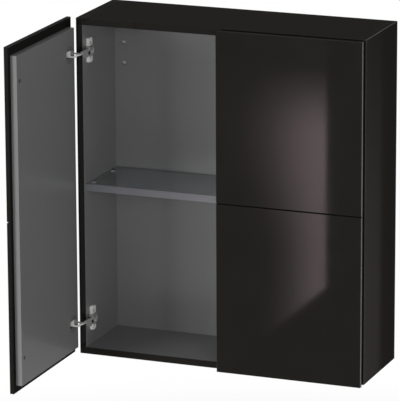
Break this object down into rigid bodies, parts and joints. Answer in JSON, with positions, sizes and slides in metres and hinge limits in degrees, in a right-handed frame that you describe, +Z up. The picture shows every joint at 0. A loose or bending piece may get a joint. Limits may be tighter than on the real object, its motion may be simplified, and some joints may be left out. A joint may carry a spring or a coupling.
{
  "type": "wall cabinet",
  "caption": "Wall-hung linen cabinet: grooved gloss fronts over recessed inner panels on wide-angle hinges, a glass shelf with a metal front rail, and concealed wall hangers.",
  "frame": {"origin": "middle of the cabinet's lower rear edge, on the wall plane", "axes": "+X to the right seen from the front, -Y out through the front, +Y into the wall, +Z up"},
  "size_m": [0.725, 0.5606, 0.8],
  "materials": {
    "black_gloss": "high gloss black lacquer on fibreboard",
    "graphite_satin": "satin graphite decor on board, faint reflections",
    "nickel": "nickel-plated pressed steel, bright",
    "zinc_steel": "zinc-plated steel, dull",
    "dark_zinc": "dark nickel on die-cast zinc, satin",
    "aluminium": "satin anodised, slightly blue grey",
    "clear_glass": "clear float glass with polished edges",
    "beech": "plain beech, fluted dowels",
    "dark_plastic": "matt moulded plastic"
  },
  "bodies": {
    "carcass": {"left_side_board": "black_gloss", "right_side_board": "black_gloss", "top_board": "black_gloss", "bottom_board": "black_gloss", "back_board_panel": "graphite_satin", "board_dowels": "beech", "shelf_glass": "clear_glass", "shelf_front_rail": "aluminium", "shelf_supports": "nickel", "hanger_housings": "zinc_steel", "hanger_hooks": "zinc_steel", "hanger_screws": "nickel", "wall_plates": "zinc_steel", "hinge_plates": "nickel", "hinge_plate_screws": "zinc_steel", "hinge_arms": "nickel", "hinge_adjusters": "zinc_steel", "hinge_arm_pins": "zinc_steel"},
    "left_door": {"left_front_panel": "black_gloss", "left_inner_panel": "graphite_satin", "left_front_screws": "zinc_steel", "left_screw_caps": "dark_plastic", "left_hinge_cups": "dark_zinc", "left_cup_pins": "zinc_steel"},
    "left_main_link_body": {"left_main_links": "nickel", "left_main_link_pins": "zinc_steel"},
    "left_guide_link_body": {"left_guide_links": "nickel", "left_guide_link_pins": "zinc_steel"},
    "left_long_cross_body": {"left_long_cross_links": "nickel"},
    "left_short_cross_body": {"left_short_cross_links": "nickel"},
    "right_door": {"right_front_panel": "black_gloss", "right_inner_panel": "graphite_satin", "right_front_screws": "zinc_steel", "right_screw_caps": "dark_plastic", "right_hinge_cups": "dark_zinc", "right_cup_pins": "zinc_steel"},
    "right_main_link_body": {"right_main_links": "nickel", "right_main_link_pins": "zinc_steel"},
    "right_guide_link_body": {"right_guide_links": "nickel", "right_guide_link_pins": "zinc_steel"},
    "right_long_cross_body": {"right_long_cross_links": "nickel"},
    "right_short_cross_body": {"right_short_cross_links": "nickel"}
  },
  "joints": [
    {"name": "left_door_hinge", "type": "hinge", "parent": "carcass", "child": "left_door", "pos_m": [-0.347, -0.215, 0], "axis": [0, 0, -1], "range_deg": [-90, 20]},
    {"name": "left_main_link_pivot", "type": "hinge", "parent": "carcass", "child": "left_main_link_body", "pos_m": [-0.3275, -0.2142, 0], "axis": [0, 0, -1], "range_deg": [-90, 20]},
    {"name": "left_guide_link_pivot", "type": "hinge", "parent": "carcass", "child": "left_guide_link_body", "pos_m": [-0.3199, -0.21389, 0], "axis": [0, 0, -1], "range_deg": [-90, 20]},
    {"name": "left_long_cross_pivot", "type": "hinge", "parent": "left_main_link_body", "child": "left_long_cross_body", "pos_m": [-0.33467, -0.24095, 0], "axis": [0, 0, -1], "range_deg": [-20, 90]},
    {"name": "left_short_cross_pivot", "type": "hinge", "parent": "left_main_link_body", "child": "left_short_cross_body", "pos_m": [-0.33703, -0.24975, 0], "axis": [0, 0, -1], "range_deg": [-20, 90]},
    {"name": "right_door_hinge", "type": "hinge", "parent": "carcass", "child": "right_door", "pos_m": [0.347, -0.215, 0], "axis": [0, 0, 1], "range_deg": [0, 110]},
    {"name": "right_main_link_pivot", "type": "hinge", "parent": "carcass", "child": "right_main_link_body", "pos_m": [0.3275, -0.2142, 0], "axis": [0, 0, 1], "range_deg": [0, 110]},
    {"name": "right_guide_link_pivot", "type": "hinge", "parent": "carcass", "child": "right_guide_link_body", "pos_m": [0.3199, -0.21389, 0], "axis": [0, 0, 1], "range_deg": [0, 110]},
    {"name": "right_long_cross_pivot", "type": "hinge", "parent": "right_main_link_body", "child": "right_long_cross_body", "pos_m": [0.30075, -0.22137, 0], "axis": [0, 0, 1], "range_deg": [-110, 0]},
    {"name": "right_short_cross_pivot", "type": "hinge", "parent": "right_main_link_body", "child": "right_short_cross_body", "pos_m": [0.29195, -0.22373, 0], "axis": [0, 0, 1], "range_deg": [-110, 0]}
  ],
  "couplings": [
    {"joint": "left_main_link_pivot", "follows": "left_door_hinge", "ratio": 1},
    {"joint": "left_guide_link_pivot", "follows": "left_door_hinge", "ratio": 1},
    {"joint": "left_long_cross_pivot", "follows": "left_door_hinge", "ratio": -1},
    {"joint": "left_short_cross_pivot", "follows": "left_door_hinge", "ratio": -1},
    {"joint": "right_main_link_pivot", "follows": "right_door_hinge", "ratio": 1},
    {"joint": "right_guide_link_pivot", "follows": "right_door_hinge", "ratio": 1},
    {"joint": "right_long_cross_pivot", "follows": "right_door_hinge", "ratio": -1},
    {"joint": "right_short_cross_pivot", "follows": "right_door_hinge", "ratio": -1}
  ]
}
